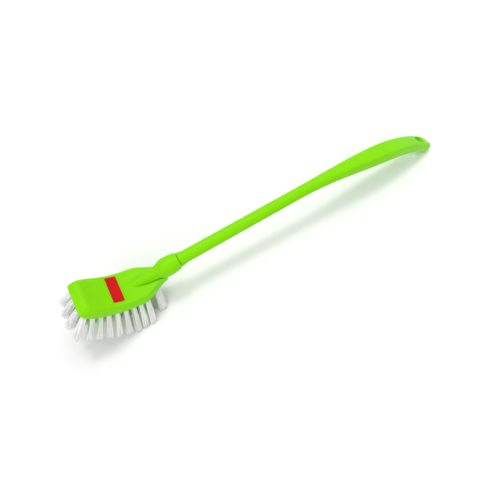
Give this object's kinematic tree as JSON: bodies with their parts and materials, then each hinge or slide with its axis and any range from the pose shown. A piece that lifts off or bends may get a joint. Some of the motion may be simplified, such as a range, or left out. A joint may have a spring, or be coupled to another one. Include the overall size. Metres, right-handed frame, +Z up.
{
  "type": "toilet brush",
  "caption": "Long-handled toilet brush: arched head with a socket and fanned bristle tufts, plugged onto a round shaft with a bowed grip and a hanging slot.",
  "frame": {"origin": "middle of the footprint on the floor, with the brush lying as it rests on its rear bristles and its handle tip", "axes": "+X along the handle from the head to the grip's tip, +Z up from the floor, +Y across the head to its left side"},
  "size_m": [0.4296, 0.0536, 0.0646],
  "materials": {
    "lime_plastic": "satin-gloss moulded polypropylene, bright lime green",
    "white_nylon": "slightly translucent white filament",
    "red_label": "blank printed film, satin",
    "anchor_steel": "flat wire, plain"
  },
  "bodies": {
    "root": {"head_block": "lime_plastic", "handle": "lime_plastic", "label": "red_label", "bristle_row_outer_right": "white_nylon", "bristle_row_inner_right": "white_nylon", "bristle_row_inner_left": "white_nylon", "bristle_row_outer_left": "white_nylon", "tuft_anchor_01": "anchor_steel", "tuft_anchor_02": "anchor_steel", "tuft_anchor_03": "anchor_steel", "tuft_anchor_04": "anchor_steel", "tuft_anchor_05": "anchor_steel", "tuft_anchor_06": "anchor_steel", "tuft_anchor_07": "anchor_steel", "tuft_anchor_08": "anchor_steel", "tuft_anchor_09": "anchor_steel", "tuft_anchor_10": "anchor_steel", "tuft_anchor_11": "anchor_steel", "tuft_anchor_12": "anchor_steel", "tuft_anchor_13": "anchor_steel", "tuft_anchor_14": "anchor_steel", "tuft_anchor_15": "anchor_steel", "tuft_anchor_16": "anchor_steel", "tuft_anchor_17": "anchor_steel", "tuft_anchor_18": "anchor_steel", "tuft_anchor_19": "anchor_steel", "tuft_anchor_20": "anchor_steel", "tuft_anchor_21": "anchor_steel", "tuft_anchor_22": "anchor_steel", "tuft_anchor_23": "anchor_steel", "tuft_anchor_24": "anchor_steel", "tuft_anchor_25": "anchor_steel", "tuft_anchor_26": "anchor_steel", "tuft_anchor_27": "anchor_steel", "tuft_anchor_28": "anchor_steel", "tuft_anchor_29": "anchor_steel", "tuft_anchor_30": "anchor_steel", "tuft_anchor_31": "anchor_steel", "tuft_anchor_32": "anchor_steel", "tuft_anchor_33": "anchor_steel", "tuft_anchor_34": "anchor_steel", "tuft_anchor_35": "anchor_steel", "tuft_anchor_36": "anchor_steel", "tuft_anchor_37": "anchor_steel", "tuft_anchor_38": "anchor_steel", "tuft_anchor_39": "anchor_steel", "tuft_anchor_40": "anchor_steel"}
  },
  "joints": []
}
